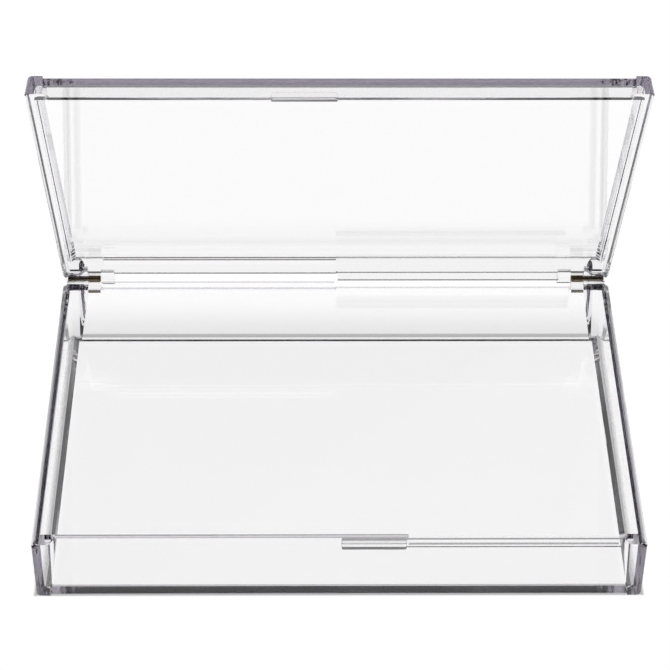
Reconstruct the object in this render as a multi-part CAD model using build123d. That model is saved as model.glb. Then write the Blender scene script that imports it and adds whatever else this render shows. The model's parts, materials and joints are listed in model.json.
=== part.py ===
from build123d import *
import os

# Clear hinged case for guitar picks: a moulded tray, a shallow lid and two hinge pins.
# Everything is drawn with the hinge axis on the X axis and the rim plane at z = 0 (front is -Y),
# and is moved at the end, so that the origin is the middle of the underside.
# All sizes are in millimetres and degrees.

# Driving dimensions
case_width = 120.0          # outside, over the end cheeks
case_depth = 88.8           # hinge axis to the front of the cheeks, at the rim
tray_height = 14.7          # underside to the rim plane
lid_height = 4.3            # rim plane to the lid's top
lid_open_angle = 58.7       # as the lid stands at rest, from closed
floor_thickness = 1.2
front_wall = 1.1
rear_wall = 1.3
cheek_wall = 1.7            # the ends are thicker, to carry the hinge
rim_gap = 0.1               # between the two rims when closed

# Cheeks: they stand out past the front and rear walls, most of all at the rim
front_overhang = 2.0        # front of the cheeks to the tray's front wall
rear_overhang = 2.85        # hinge axis to the rear walls
cheek_face = 3.5            # width of the cheeks' front and rear edges, at the rim
flange_front_root = 4.6     # width of the overhanging flanges where they meet the walls, at the rim
flange_rear_root = 5.6
cheek_face_far = 2.9        # the same three widths at the underside
flange_front_root_far = 3.0
flange_rear_root_far = 3.3
overhang_taper = 1.2        # how far the cheeks' ends draw in from rim to underside
side_draft = 0.2            # how far the tray's outer faces draw in from rim to underside
lid_side_draft = 0.5
lid_end_draft = 0.4
lid_front_overhang = 1.3    # the lid's front wall stands a little in front of the tray's
cavity_draft = 0.15

# Interlocking rear rims: each half has a tongue on one part and a rebate on the other
tongue_height = 1.9
tongue_thickness = 0.6
tongue_clearance = 0.1
tongue_end = 51.0           # from the centre plane
tongue_start = 0.3
tray_rebate_fade = 3.5      # the rebates run out in a slope of this height
lid_rebate_fade = 1.0

# Latch band along the right half of the tray's front rim
band_height = 2.0
band_proud = 0.55
band_end = 55.0
band_rebate = 0.6

# Thumb tabs, side by side at the centre
tab_start = 0.4
tab_end = 13.1
tab_reach = 1.8             # out from the tray's front wall
tray_tab_height = 1.6
lid_tab_top = 0.7
lid_tab_drop = 0.55         # the lid's tab hangs this far below the rim plane
tab_corner = 0.45

# Hinge
pin_radius = 0.5
pin_inner_end = 51.8        # from the centre plane
pin_outer_end = 59.0
pin_chamfer = 0.12
press_interference = 0.01
running_clearance = 0.05
lug_start = 51.7            # tray's lug, which holds the pin
lug_end = 54.4
lug_radius = 1.3
ear_start = 54.5            # lid's ear, which turns on the pin
ear_end = 59.2
ear_radius = 1.6
ear_room = 0.1              # round the ear, in the tray's corner
boss_start = 48.7           # lid's small boss, which keeps the lug from sliding inwards
boss_end = 51.6
boss_radius = 0.95

# Rounded and bevelled edges
tray_rim_bevel = 0.9        # along the outer rim edge of the cheeks
lid_rim_bevel = 0.25
tab_edge_round = 0.18
cheek_round = 1.0
rear_corner_round = 1.2
underside_round = 0.7
foot_bevel = 1.25           # inside, where the floor meets the cheeks
foot_round = 0.9            # inside, where the floor meets the front and rear walls
lid_top_round = 0.45

# Derived
half_width = case_width / 2
tray_front = -(case_depth - front_overhang)
lid_front = -(case_depth - lid_front_overhang)
wall_back = -rear_overhang
inner_back = wall_back - rear_wall
half_gap = rim_gap / 2
body_half = half_width - cheek_wall / 2


def plan_face(points, z, rounds):
    """A closed outline in plan at height z, with chosen corners rounded."""
    face = make_face(Polyline(*points, close=True))
    for x, y, radius in rounds:
        corner = face.vertices().sort_by_distance((x, y, 0))[0]
        face = fillet(corner, radius)
    return Pos(0, 0, z) * face


def cheek_blank(z_rim, z_far, bevel, taper, draft, front_wall_rim, front_wall_far, far_round):
    """The right-hand end block, solid across to the flange roots, lofted from rim to far side."""
    way = 1 if z_far > z_rim else -1
    rim_widths = (cheek_face, flange_front_root, flange_rear_root, front_wall_rim)
    far_widths = (cheek_face_far, flange_front_root_far, flange_rear_root_far, front_wall_far)
    far_side = half_width - draft
    sections = (
        (z_rim, half_width, bevel, 0, *rim_widths),
        (z_rim + way * bevel, half_width, 0, 0, *rim_widths),
        (z_far, far_side, 0, taper, *far_widths),
    )
    faces = []
    for z, side, cut, inset, edge_width, front_root, rear_root, wall_y in sections:
        outer = side - cut
        front = -case_depth + inset
        rear = -half_gap - inset
        points = [
            (outer, rear),
            (outer, front),
            (side - edge_width, front),
            (side - front_root, wall_y),
            (side - rear_root, wall_back),
            (side - edge_width, rear),
        ]
        rounds = [(outer, rear, rear_corner_round), (outer, front, cheek_round)]
        faces.append(plan_face(points, z, rounds))
    blank = loft(faces, ruled=True)
    edge_limit = far_side - cheek_face_far - 0.1
    far_edges = edges_near(blank, lambda p: abs(p.Z - z_far) < 0.01 and p.X > edge_limit)
    return fillet(far_edges, far_round)


def block(x0, x1, y0, y1, z0, z1):
    """A plain block between two corners."""
    return Pos((x0 + x1) / 2, (y0 + y1) / 2, (z0 + z1) / 2) * Box(x1 - x0, abs(y1 - y0), abs(z1 - z0))


def tapered_block(rim, far, z_rim, z_far):
    """A block whose plan size (x, y_front, y_back) changes from the rim to the far side."""
    faces = []
    for (x, front, back), z in ((rim, z_rim), (far, z_far)):
        corners = [(-x, front), (x, front), (x, back), (-x, back)]
        faces.append(plan_face(corners, z, []))
    return loft(faces, ruled=True)


def cavity(front, z_rim, z_end):
    """The inside of the tray or lid: a section across with bevelled feet, cut to one along with rounds."""
    wide = half_width - cheek_wall
    across = [(-wide, z_rim), (wide, z_rim), (wide - cavity_draft, z_end), (cavity_draft - wide, z_end)]
    along = [
        (front, z_rim),
        (inner_back, z_rim),
        (inner_back - cavity_draft, z_end),
        (front + cavity_draft, z_end),
    ]
    across_face = make_face(Polyline(*across, close=True))
    along_face = make_face(Polyline(*along, close=True))
    across_feet = [v for v in across_face.vertices() if abs(v.Y - z_end) < 0.01]
    along_feet = [v for v in along_face.vertices() if abs(v.Y - z_end) < 0.01]
    trough = extrude(Plane.XZ * chamfer(across_feet, foot_bevel), amount=case_depth, both=True)
    return trough & extrude(Plane.YZ * fillet(along_feet, foot_round), amount=half_width, both=True)


def rebate(x0, x1, way, fade):
    """The step inside a rear wall for the other part's tongue, which runs out in a slope."""
    back = inner_back + tongue_thickness + tongue_clearance
    depth = tongue_height + tongue_clearance
    outline = [
        (inner_back - 0.2, -way * 0.5),
        (back, -way * 0.5),
        (back, way * depth),
        (inner_back - 0.2, way * (depth + fade)),
    ]
    side = make_face(Plane.YZ * Polyline(*outline, close=True))
    return Pos(x0, 0, 0) * extrude(side, amount=x1 - x0, dir=(1, 0, 0))


def thumb_tab(x0, x1, root, z0, z1):
    """A small block in front of the front wall, with rounded corners and edges."""
    front = tray_front - tab_reach
    tab = block(x0, x1, front, root, z0, z1)
    tab = fillet(tab.edges().filter_by(Axis.Z).sort_by(Axis.Y)[:2], tab_corner)
    return fillet(edges_near(tab, lambda p: p.Y < root - 0.1 and min(abs(p.Z - z0), abs(p.Z - z1)) < 0.01
                             and p.Y < front + tab_corner), tab_edge_round)


def both_sides(shape):
    """A right-hand shape and its mirror image."""
    return shape + mirror(shape, about=Plane.YZ)


def rod(x0, x1, radius):
    """A cylinder along the hinge axis."""
    return Pos((x0 + x1) / 2, 0, 0) * Rot(0, 90, 0) * Cylinder(radius, x1 - x0)


def walled_barrel(x0, x1, radius, side):
    """A barrel on the hinge axis, joined to the rear wall by a web on one side of the rim plane."""
    web = block(x0, x1, wall_back - rear_wall / 4, 0, *sorted((side * half_gap, side * radius)))
    return rod(x0, x1, radius) + web


def edges_near(shape, test):
    """The edges whose middle passes a test."""
    return [edge for edge in shape.edges() if test(edge @ 0.5)]


def tray():
    """The base: floor, thin front and rear walls, thick cheeks, tab, tongue, rebates and lugs."""
    z_rim = -half_gap
    z_under = -tray_height
    body = tapered_block((body_half, tray_front, wall_back),
                         (body_half, tray_front + side_draft, wall_back - side_draft), z_rim, z_under)
    body += both_sides(cheek_blank(z_rim, z_under, tray_rim_bevel, overhang_taper, side_draft,
                                   tray_front, tray_front + side_draft, underside_round))

    cavity_front = tray_front + front_wall
    body -= cavity(cavity_front, z_rim, z_under + floor_thickness)

    # Rear rim: tongue on the left half, rebate for the lid's tongue on the right half
    tongue_back = inner_back + tongue_thickness
    body += block(-tongue_end, -tongue_start, inner_back, tongue_back, z_rim - 1.0, tongue_height)
    body -= rebate(0, tongue_end + tongue_clearance, -1, tray_rebate_fade)

    # Front rim: joggled band on the right half, then the thumb tab
    band_root = tray_front + 0.3
    body += block(tab_end, band_end, tray_front - band_proud, band_root, -band_height, z_rim)
    body -= block(tab_end + 0.4, band_end - 0.4, cavity_front - band_rebate, cavity_front + 0.5,
                  -band_height + 0.2, z_rim + 0.5)
    body += thumb_tab(tab_start, tab_end, band_root, -tray_tab_height, z_rim)

    # Hinge: room for the lid's ears in the corners, lugs on the rear wall, pressed pin holes
    body -= both_sides(rod(ear_start - ear_room, half_width + 1, ear_radius + ear_room))
    body += both_sides(walled_barrel(lug_start, lug_end, lug_radius, -1))
    body -= both_sides(rod(lug_start - 0.5, lug_end + 0.5, pin_radius - press_interference))
    return body


def lid():
    """The lid, drawn closed: plate, walls, cheeks, tab, tongue, rebate, ears and bosses."""
    z_rim = half_gap
    z_top = lid_height
    front_far = lid_front + lid_end_draft
    body = tapered_block((body_half, lid_front, wall_back), (body_half, front_far, wall_back), z_rim, z_top)
    body += both_sides(cheek_blank(z_rim, z_top, lid_rim_bevel, lid_end_draft, lid_side_draft,
                                   lid_front, front_far, lid_top_round))

    body -= cavity(lid_front + front_wall, z_rim, z_top - floor_thickness)

    # Rear rim: tongue on the right half, rebate for the tray's tongue on the left half
    tongue_back = inner_back + tongue_thickness
    body += block(tongue_start, boss_start, inner_back, tongue_back, -tongue_height, z_rim + 1.0)
    body -= rebate(-tongue_end - tongue_clearance, 0, 1, lid_rebate_fade)

    # Thumb tab on the left half, hanging in front of the tray's wall
    body += thumb_tab(-tab_end, -tab_start, tray_front - tongue_clearance, -lid_tab_drop, lid_tab_top)

    # Hinge: the ears in the corners turn on the pins, and the bosses stand inside the lugs
    ear = rod(ear_start, ear_end, ear_radius)
    ear += block(ear_start, ear_end, wall_back, -half_gap, z_rim, ear_radius)
    body += both_sides(ear)
    body -= both_sides(rod(ear_start - 0.5, half_width + 1, pin_radius + running_clearance))
    body += both_sides(walled_barrel(boss_start, boss_end, boss_radius, 1))
    return body


def hinge_pin():
    """The right-hand pin: a plain rod with chamfered ends."""
    pin = rod(pin_inner_end, pin_outer_end, pin_radius)
    return chamfer(pin.edges().filter_by(GeomType.CIRCLE), pin_chamfer)


# From the hinge frame to the part's own frame: origin at the middle of the underside
to_part = Pos(0, case_depth / 2, tray_height)
opened = Rot(-lid_open_angle, 0, 0)

nodes = {
    "base_tray": to_part * tray(),
    "lid": to_part * opened * lid(),
    "hinge_pin_right": to_part * hinge_pin(),
    "hinge_pin_left": to_part * mirror(hinge_pin(), about=Plane.YZ),
}

os.makedirs("parts", exist_ok=True)
for name, shape in nodes.items():
    export_step(shape, f"parts/{name}.step")
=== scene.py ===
"""Looks for the clear hinged pick case: polished clear plastic, dulled metal pins, a white studio."""
import json
from math import radians

import bpy
from bpy.props import FloatProperty, FloatVectorProperty, IntProperty, PointerProperty
from bpy.types import Operator, Panel, PropertyGroup
from mathutils import Matrix, Vector


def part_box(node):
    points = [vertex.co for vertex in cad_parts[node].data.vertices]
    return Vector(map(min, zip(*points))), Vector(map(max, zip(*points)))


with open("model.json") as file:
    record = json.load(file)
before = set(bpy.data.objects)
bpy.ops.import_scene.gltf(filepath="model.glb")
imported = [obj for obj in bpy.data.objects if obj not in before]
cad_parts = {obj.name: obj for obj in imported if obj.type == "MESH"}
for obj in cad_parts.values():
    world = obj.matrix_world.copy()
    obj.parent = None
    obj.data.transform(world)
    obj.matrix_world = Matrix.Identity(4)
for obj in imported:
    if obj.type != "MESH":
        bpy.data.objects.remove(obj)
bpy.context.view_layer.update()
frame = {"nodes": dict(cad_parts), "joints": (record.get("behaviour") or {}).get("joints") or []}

bl_info = {
    "name": "Clear Pick Case",
    "version": (1, 0, 0),
    "blender": (4, 5, 0),
    "location": "3D View > Sidebar > Pick Case",
    "description": "Finishes a clear hinged case for guitar picks and sets up its studio",
    "category": "Object",
}

CLEAR_NODES = ("base_tray", "lid")
PIN_NODES = ("hinge_pin_left", "hinge_pin_right")
TRAY_LOW, TRAY_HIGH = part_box("base_tray")
CASE_WIDTH = TRAY_HIGH.x - TRAY_LOW.x
HINGE = Vector(frame["joints"][0]["pos_m"])
SENSOR_WIDTH = 36.0  # millimetres
WALL = 0.0013
FRONT_SET_BACK = 0.002  # from the front of the cheeks to the tray's front wall
BACKDROP_TOP = 0.09  # sine of the height angle where the white backdrop starts to fade
BACKDROP_END = 0.2  # and where it has faded into the dim room
HAZE_STARTS, HAZE_FULL = 0.5, 0.75  # noise values where the handled patches begin and are full
SCRATCH_STARTS, SCRATCH_FULL = 0.68, 0.8  # the same for the sparse scratches
RIPPLE_HEIGHT = 0.001
SCRATCH_HEIGHT = 0.00005
DRAW_LINE_HEIGHT = 0.00002


class ClearPlasticSettings(PropertyGroup):
    tint: FloatVectorProperty(
        name="Tint", description="Colour that one face of the plastic lets through",
        subtype="COLOR", size=3, default=(0.988, 0.985, 0.988))
    toner: FloatVectorProperty(
        name="Toner", description="Colour of the blue-violet toner, seen through the edges",
        subtype="COLOR", size=3, default=(0.17, 0.11, 0.25))
    toner_density: FloatProperty(
        name="Toner density", description="How strongly a metre of the plastic absorbs", default=15.0)
    ior: FloatProperty(
        name="Refractive index", description="Polystyrene bends light by this much", default=1.59)
    polish: FloatProperty(
        name="Polish", description="Roughness of the clean moulded face", default=0.012)
    haze: FloatProperty(
        name="Haze", description="Roughness added where the face is handled", default=0.03)
    haze_scale: FloatProperty(
        name="Haze scale", description="Handled patches to a metre", default=45.0)
    scratch_depth: FloatProperty(
        name="Scratch depth", description="Strength of the fine handling scratches", default=0.03)
    scratch_turn: FloatVectorProperty(
        name="Scratch turn", description="Direction that the scratches run in",
        subtype="EULER", size=3, default=(0.3, 0.2, 0.6))
    scratch_scale: FloatVectorProperty(
        name="Scratch scale", description="Fineness of the scratches along X, Y and Z, once turned",
        size=3, default=(900.0, 25.0, 250.0))
    ripple_depth: FloatProperty(
        name="Moulding ripple", description="Strength of the slow ripple of the mould", default=0.004)
    ripple_size: FloatProperty(
        name="Ripple size", description="Length of one moulding ripple", default=0.03, unit="LENGTH")


class PinMetalSettings(PropertyGroup):
    wire_colour: FloatVectorProperty(
        name="Wire", description="Colour of the bright drawn wire",
        subtype="COLOR", size=3, default=(0.42, 0.33, 0.2))
    tarnish_colour: FloatVectorProperty(
        name="Tarnish", description="Colour of the darkened wire",
        subtype="COLOR", size=3, default=(0.05, 0.04, 0.03))
    tarnish_scale: FloatProperty(
        name="Tarnish scale", description="Dark blotches to a metre", default=600.0)
    roughness: FloatProperty(
        name="Roughness", description="Roughness of the drawn wire", default=0.3)
    draw_lines: FloatVectorProperty(
        name="Draw lines", description="Draw lines to a metre, along and across the wire",
        size=3, default=(120.0, 9000.0, 9000.0))
    draw_depth: FloatProperty(
        name="Draw depth", description="Strength of the draw lines", default=0.3)


class StudioSettings(PropertyGroup):
    floor_size: FloatProperty(
        name="Floor size", description="Side of the pale floor", default=6.0, unit="LENGTH")
    floor_gap: FloatProperty(
        name="Floor gap", description="Air under the case", default=0.0001, unit="LENGTH")
    floor_colour: FloatVectorProperty(
        name="Floor colour", description="Colour of the pale floor",
        subtype="COLOR", size=3, default=(0.3, 0.3, 0.3))
    floor_roughness: FloatProperty(
        name="Floor roughness", description="Roughness of the pale floor", default=0.9)
    floor_glow: FloatProperty(
        name="Floor glow", description="Light that comes up through the backlit table", default=1.0)
    # Painted shade: these three settings darken the floor's glow by position, under the case's walls and
    # behind its rear wall. No light casts this shade.
    painted_wall_shade: FloatProperty(
        name="Shade under the walls", description="Light that the walls keep off the floor", default=0.55)
    painted_rear_shade: FloatProperty(
        name="Shade behind", description="Light that the rear wall keeps off the floor", default=0.2)
    painted_shade_reach: FloatProperty(
        name="Reach behind", description="How far behind the case its shade reaches",
        default=0.014, unit="LENGTH")
    horizon: FloatProperty(
        name="Backdrop light", description="Brightness of the white backdrop, low all round", default=1.0)
    overhead: FloatProperty(
        name="Overhead light", description="Brightness of the dim room overhead", default=0.03)
    light_passes: IntProperty(
        name="Light passes", description="Reflections that light makes inside the walls", default=64)
    camera_right: FloatProperty(
        name="Camera right", description="Camera to the right of the hinge's middle, in case widths",
        default=-0.047)
    camera_back: FloatProperty(
        name="Camera back", description="Camera in front of the hinge, in case widths", default=4.027)
    camera_up: FloatProperty(
        name="Camera up", description="Camera above the hinge, in case widths", default=2.870)
    camera_near: FloatProperty(
        name="Camera near", description="Where the camera starts to see", default=0.01, unit="LENGTH")
    camera_tilt: FloatProperty(
        name="Camera tilt", description="How far the camera looks down",
        default=radians(36.67), subtype="ANGLE")
    camera_turn: FloatProperty(
        name="Camera turn", description="How far the camera looks to the right",
        default=radians(0.653), subtype="ANGLE")
    camera_roll: FloatProperty(
        name="Camera roll", description="How far the camera leans to the left",
        default=radians(0.347), subtype="ANGLE")
    lens: FloatProperty(
        name="Lens", description="Focal length in millimetres on a 36 mm sensor", default=144.55)


def new_material(name):
    """A material and its node tree, with no nodes yet."""
    material = bpy.data.materials.new(name)
    material.use_nodes = True
    tree = material.node_tree
    tree.nodes.clear()
    return material, tree


def add_node(tree, kind, **values):
    """Adds one node and sets its properties and input sockets by name."""
    node = tree.nodes.new(kind)
    for key, value in values.items():
        socket = node.inputs.get(key.replace("_", " "))
        if hasattr(node, key):
            setattr(node, key, value)
        elif socket is not None:
            socket.default_value = value
        else:
            raise ValueError(f"{kind} has nothing called {key}")
    return node


def calculate(tree, operation, first, second=0.0):
    """A maths node on two values, each a number or another node's output."""
    node = add_node(tree, "ShaderNodeMath", operation=operation)
    for socket, value in zip(node.inputs, (first, second)):
        if isinstance(value, float):
            socket.default_value = value
        else:
            tree.links.new(value, socket)
    return node.outputs["Value"]


def fade(tree, value, start, end):
    """A smooth step that is 0 where the value is at start and 1 where it is at end."""
    node = add_node(tree, "ShaderNodeMapRange", interpolation_type="SMOOTHSTEP")
    node.inputs["From Min"].default_value = start
    node.inputs["From Max"].default_value = end
    tree.links.new(value, node.inputs["Value"])
    return node.outputs["Result"]


def clear_plastic(settings):
    """Water-clear polystyrene: polished, with a slow moulding ripple, handling haze and fine scratches."""
    material, tree = new_material("clear_polystyrene")
    link = tree.links.new
    place = add_node(tree, "ShaderNodeTexCoord").outputs["Object"]

    handled = add_node(tree, "ShaderNodeTexNoise", Scale=settings.haze_scale, Detail=5.0, Roughness=0.6)
    link(place, handled.inputs["Vector"])
    rough = add_node(tree, "ShaderNodeMapRange")
    rough.inputs["From Min"].default_value = HAZE_STARTS
    rough.inputs["From Max"].default_value = HAZE_FULL
    rough.inputs["To Min"].default_value = settings.polish
    rough.inputs["To Max"].default_value = settings.polish + settings.haze
    link(handled.outputs["Fac"], rough.inputs["Value"])

    ripple = add_node(tree, "ShaderNodeTexNoise", Scale=1.0 / settings.ripple_size, Detail=1.0)
    link(place, ripple.inputs["Vector"])
    stretched = add_node(tree, "ShaderNodeMapping")
    stretched.inputs["Rotation"].default_value = settings.scratch_turn
    stretched.inputs["Scale"].default_value = settings.scratch_scale
    link(place, stretched.inputs["Vector"])
    scratches = add_node(tree, "ShaderNodeTexNoise", Scale=1.0, Detail=2.0)
    link(stretched.outputs["Vector"], scratches.inputs["Vector"])
    sparse = add_node(tree, "ShaderNodeMapRange")
    sparse.inputs["From Min"].default_value = SCRATCH_STARTS
    sparse.inputs["From Max"].default_value = SCRATCH_FULL
    link(scratches.outputs["Fac"], sparse.inputs["Value"])

    slow_bump = add_node(tree, "ShaderNodeBump", Strength=settings.ripple_depth, Distance=RIPPLE_HEIGHT)
    link(ripple.outputs["Fac"], slow_bump.inputs["Height"])
    fine_bump = add_node(tree, "ShaderNodeBump", Strength=settings.scratch_depth, Distance=SCRATCH_HEIGHT)
    link(sparse.outputs["Result"], fine_bump.inputs["Height"])
    link(slow_bump.outputs["Normal"], fine_bump.inputs["Normal"])

    shader = add_node(tree, "ShaderNodeBsdfPrincipled")
    shader.inputs["Base Color"].default_value = (*settings.tint, 1.0)
    shader.inputs["Transmission Weight"].default_value = 1.0
    shader.inputs["IOR"].default_value = settings.ior
    link(rough.outputs["Result"], shader.inputs["Roughness"])
    link(fine_bump.outputs["Normal"], shader.inputs["Normal"])
    out = add_node(tree, "ShaderNodeOutputMaterial")
    link(shader.outputs["BSDF"], out.inputs["Surface"])
    toner = add_node(tree, "ShaderNodeVolumeAbsorption", Density=settings.toner_density)
    toner.inputs["Color"].default_value = (*settings.toner, 1.0)
    link(toner.outputs["Volume"], out.inputs["Volume"])
    return material


def pin_metal(settings):
    """Drawn wire that has dulled unevenly, with draw lines along its length."""
    material, tree = new_material("pin_metal")
    link = tree.links.new
    place = add_node(tree, "ShaderNodeTexCoord").outputs["Object"]
    blotches = add_node(tree, "ShaderNodeTexNoise", Scale=settings.tarnish_scale, Detail=4.0)
    link(place, blotches.inputs["Vector"])
    colour = add_node(tree, "ShaderNodeMix", data_type="RGBA")
    colour.inputs["A"].default_value = (*settings.tarnish_colour, 1.0)
    colour.inputs["B"].default_value = (*settings.wire_colour, 1.0)
    link(blotches.outputs["Fac"], colour.inputs["Factor"])
    lines = add_node(tree, "ShaderNodeMapping")
    lines.inputs["Scale"].default_value = settings.draw_lines
    link(place, lines.inputs["Vector"])
    drawn = add_node(tree, "ShaderNodeTexNoise", Scale=1.0, Detail=2.0)
    link(lines.outputs["Vector"], drawn.inputs["Vector"])
    bump = add_node(tree, "ShaderNodeBump", Strength=settings.draw_depth, Distance=DRAW_LINE_HEIGHT)
    link(drawn.outputs["Fac"], bump.inputs["Height"])
    shader = add_node(tree, "ShaderNodeBsdfPrincipled")
    shader.inputs["Metallic"].default_value = 1.0
    shader.inputs["Roughness"].default_value = settings.roughness
    link(colour.outputs["Result"], shader.inputs["Base Color"])
    link(bump.outputs["Normal"], shader.inputs["Normal"])
    out = add_node(tree, "ShaderNodeOutputMaterial")
    link(shader.outputs["BSDF"], out.inputs["Surface"])
    return material


def dress(node_name, material):
    """Gives a CAD node its finish in every slot that it has."""
    piece = frame["nodes"][node_name]
    if not piece.data.materials:
        piece.data.materials.append(material)
    for index in range(len(piece.data.materials)):
        piece.data.materials[index] = material


class PICKCASE_OT_mouldings(Operator):
    """Give the tray and the lid their clear moulded plastic"""
    bl_idname = "pickcase.mouldings"
    bl_label = "Tray and Lid"

    def execute(self, context):
        material = clear_plastic(context.scene.pickcase_plastic)
        for name in CLEAR_NODES:
            dress(name, material)
        return {"FINISHED"}


class PICKCASE_OT_pins(Operator):
    """Give the two hinge pins their dulled drawn wire"""
    bl_idname = "pickcase.pins"
    bl_label = "Hinge Pins"

    def execute(self, context):
        material = pin_metal(context.scene.pickcase_metal)
        for name in PIN_NODES:
            dress(name, material)
        return {"FINISHED"}


class PICKCASE_OT_stage(Operator):
    """Make the pale floor, the soft studio light and the camera"""
    bl_idname = "pickcase.stage"
    bl_label = "Studio"

    def execute(self, context):
        settings = context.scene.pickcase_studio
        self.make_floor(settings)
        self.make_light(context.scene, settings)
        self.make_camera(context.scene, settings)
        return {"FINISHED"}

    def make_floor(self, settings):
        bpy.ops.mesh.primitive_plane_add(size=settings.floor_size, location=(0, 0, -settings.floor_gap))
        floor = bpy.context.object
        floor.name = "studio_floor"
        material, tree = new_material("studio_floor")
        shader = add_node(tree, "ShaderNodeBsdfPrincipled")
        shader.inputs["Base Color"].default_value = (*settings.floor_colour, 1.0)
        shader.inputs["Roughness"].default_value = settings.floor_roughness
        shader.inputs["Specular IOR Level"].default_value = 0.0
        shader.inputs["Emission Color"].default_value = (1.0, 1.0, 1.0, 1.0)
        # Painted shade: the floor's glow is multiplied down under the case's walls and just behind its
        # rear wall, by position alone.
        share_left_by_painted_shade = calculate(tree, "SUBTRACT", 1.0, self.shade(tree, settings))
        glow = calculate(tree, "MULTIPLY", share_left_by_painted_shade, settings.floor_glow)
        tree.links.new(glow, shader.inputs["Emission Strength"])
        out = add_node(tree, "ShaderNodeOutputMaterial")
        tree.links.new(shader.outputs["BSDF"], out.inputs["Surface"])
        floor.data.materials.append(material)

    def shade(self, tree, settings):
        """The case's soft shade, painted into the floor's glow by position and not cast by any light:
        under its walls, and fading away behind the rear wall, which stands under the hinge line."""
        place = add_node(tree, "ShaderNodeNewGeometry")
        split = add_node(tree, "ShaderNodeSeparateXYZ")
        tree.links.new(place.outputs["Position"], split.inputs["Vector"])
        side = calculate(tree, "SUBTRACT", CASE_WIDTH / 2, calculate(tree, "ABSOLUTE", split.outputs["X"]))
        front = calculate(tree, "SUBTRACT", split.outputs["Y"], TRAY_LOW.y + FRONT_SET_BACK)
        rear = calculate(tree, "SUBTRACT", HINGE.y, split.outputs["Y"])
        inside = calculate(tree, "MINIMUM", side, calculate(tree, "MINIMUM", front, rear))
        # Painted shade masks: full under the walls, and fading out over the reach behind the rear wall.
        under = calculate(tree, "MULTIPLY", fade(tree, inside, 2 * WALL, WALL),
                          fade(tree, inside, -0.5 * WALL, 0.0))
        behind = calculate(tree, "MULTIPLY", fade(tree, rear, -settings.painted_shade_reach, 0.0),
                           fade(tree, side, 0.0, WALL))
        behind = calculate(tree, "MULTIPLY", behind, fade(tree, rear, WALL, 0.0))
        return calculate(tree, "MAXIMUM", calculate(tree, "MULTIPLY", under, settings.painted_wall_shade),
                         calculate(tree, "MULTIPLY", behind, settings.painted_rear_shade))

    def make_light(self, scene, settings):
        world = bpy.data.worlds.new("studio")
        scene.world = world
        world.use_nodes = True
        tree = world.node_tree
        tree.nodes.clear()
        link = tree.links.new
        place = add_node(tree, "ShaderNodeTexCoord")
        split = add_node(tree, "ShaderNodeSeparateXYZ")
        link(place.outputs["Generated"], split.inputs["Vector"])
        height = add_node(tree, "ShaderNodeMapRange", interpolation_type="SMOOTHSTEP")
        height.inputs["From Min"].default_value = BACKDROP_TOP
        height.inputs["From Max"].default_value = BACKDROP_END
        height.inputs["To Min"].default_value = settings.horizon
        height.inputs["To Max"].default_value = settings.overhead
        link(split.outputs["Z"], height.inputs["Value"])
        background = add_node(tree, "ShaderNodeBackground", Color=(1.0, 1.0, 1.0, 1.0))
        link(height.outputs["Result"], background.inputs["Strength"])
        out = add_node(tree, "ShaderNodeOutputWorld")
        link(background.outputs["Background"], out.inputs["Surface"])
        scene.view_settings.view_transform = "Standard"
        scene.cycles.max_bounces = settings.light_passes
        scene.cycles.glossy_bounces = settings.light_passes
        scene.cycles.transmission_bounces = settings.light_passes

    def make_camera(self, scene, settings):
        camera = bpy.data.objects.new("camera", bpy.data.cameras.new("camera"))
        scene.collection.objects.link(camera)
        camera.data.sensor_width = SENSOR_WIDTH
        camera.data.lens = settings.lens
        camera.data.clip_start = settings.camera_near
        offset = Vector((settings.camera_right, -settings.camera_back, settings.camera_up))
        turn = Matrix.Rotation(-settings.camera_turn, 4, "Z")
        tilt = Matrix.Rotation(radians(90) - settings.camera_tilt, 4, "X")
        roll = Matrix.Rotation(settings.camera_roll, 4, "Z")
        camera.matrix_world = Matrix.Translation(HINGE + offset * CASE_WIDTH) @ turn @ tilt @ roll
        scene.camera = camera


class PICKCASE_PT_panel(Panel):
    """The case's finishes and its studio, in the order they are made"""
    bl_label = "Pick Case"
    bl_idname = "PICKCASE_PT_panel"
    bl_space_type = "VIEW_3D"
    bl_region_type = "UI"
    bl_category = "Pick Case"

    def draw(self, context):
        for settings, operators in PANEL_ROWS:
            box = self.layout.box()
            group = getattr(context.scene, settings)
            for name in group.__annotations__:
                box.prop(group, name)
            for operator in operators:
                box.operator(operator)


PANEL_ROWS = (
    ("pickcase_plastic", ("pickcase.mouldings",)),
    ("pickcase_metal", ("pickcase.pins",)),
    ("pickcase_studio", ("pickcase.stage",)),
)
SETTINGS = {
    "pickcase_plastic": ClearPlasticSettings,
    "pickcase_metal": PinMetalSettings,
    "pickcase_studio": StudioSettings,
}
OPERATORS = (PICKCASE_OT_mouldings, PICKCASE_OT_pins, PICKCASE_OT_stage)


def register():
    for name, group in SETTINGS.items():
        bpy.utils.register_class(group)
        setattr(bpy.types.Scene, name, PointerProperty(type=group))
    for operator in OPERATORS:
        bpy.utils.register_class(operator)
    bpy.utils.register_class(PICKCASE_PT_panel)


def unregister():
    bpy.utils.unregister_class(PICKCASE_PT_panel)
    for operator in reversed(OPERATORS):
        bpy.utils.unregister_class(operator)
    for name, group in SETTINGS.items():
        delattr(bpy.types.Scene, name)
        bpy.utils.unregister_class(group)


def main():
    register()
    bpy.ops.pickcase.mouldings()
    bpy.ops.pickcase.pins()
    bpy.ops.pickcase.stage()


if __name__ == "__main__":
    main()
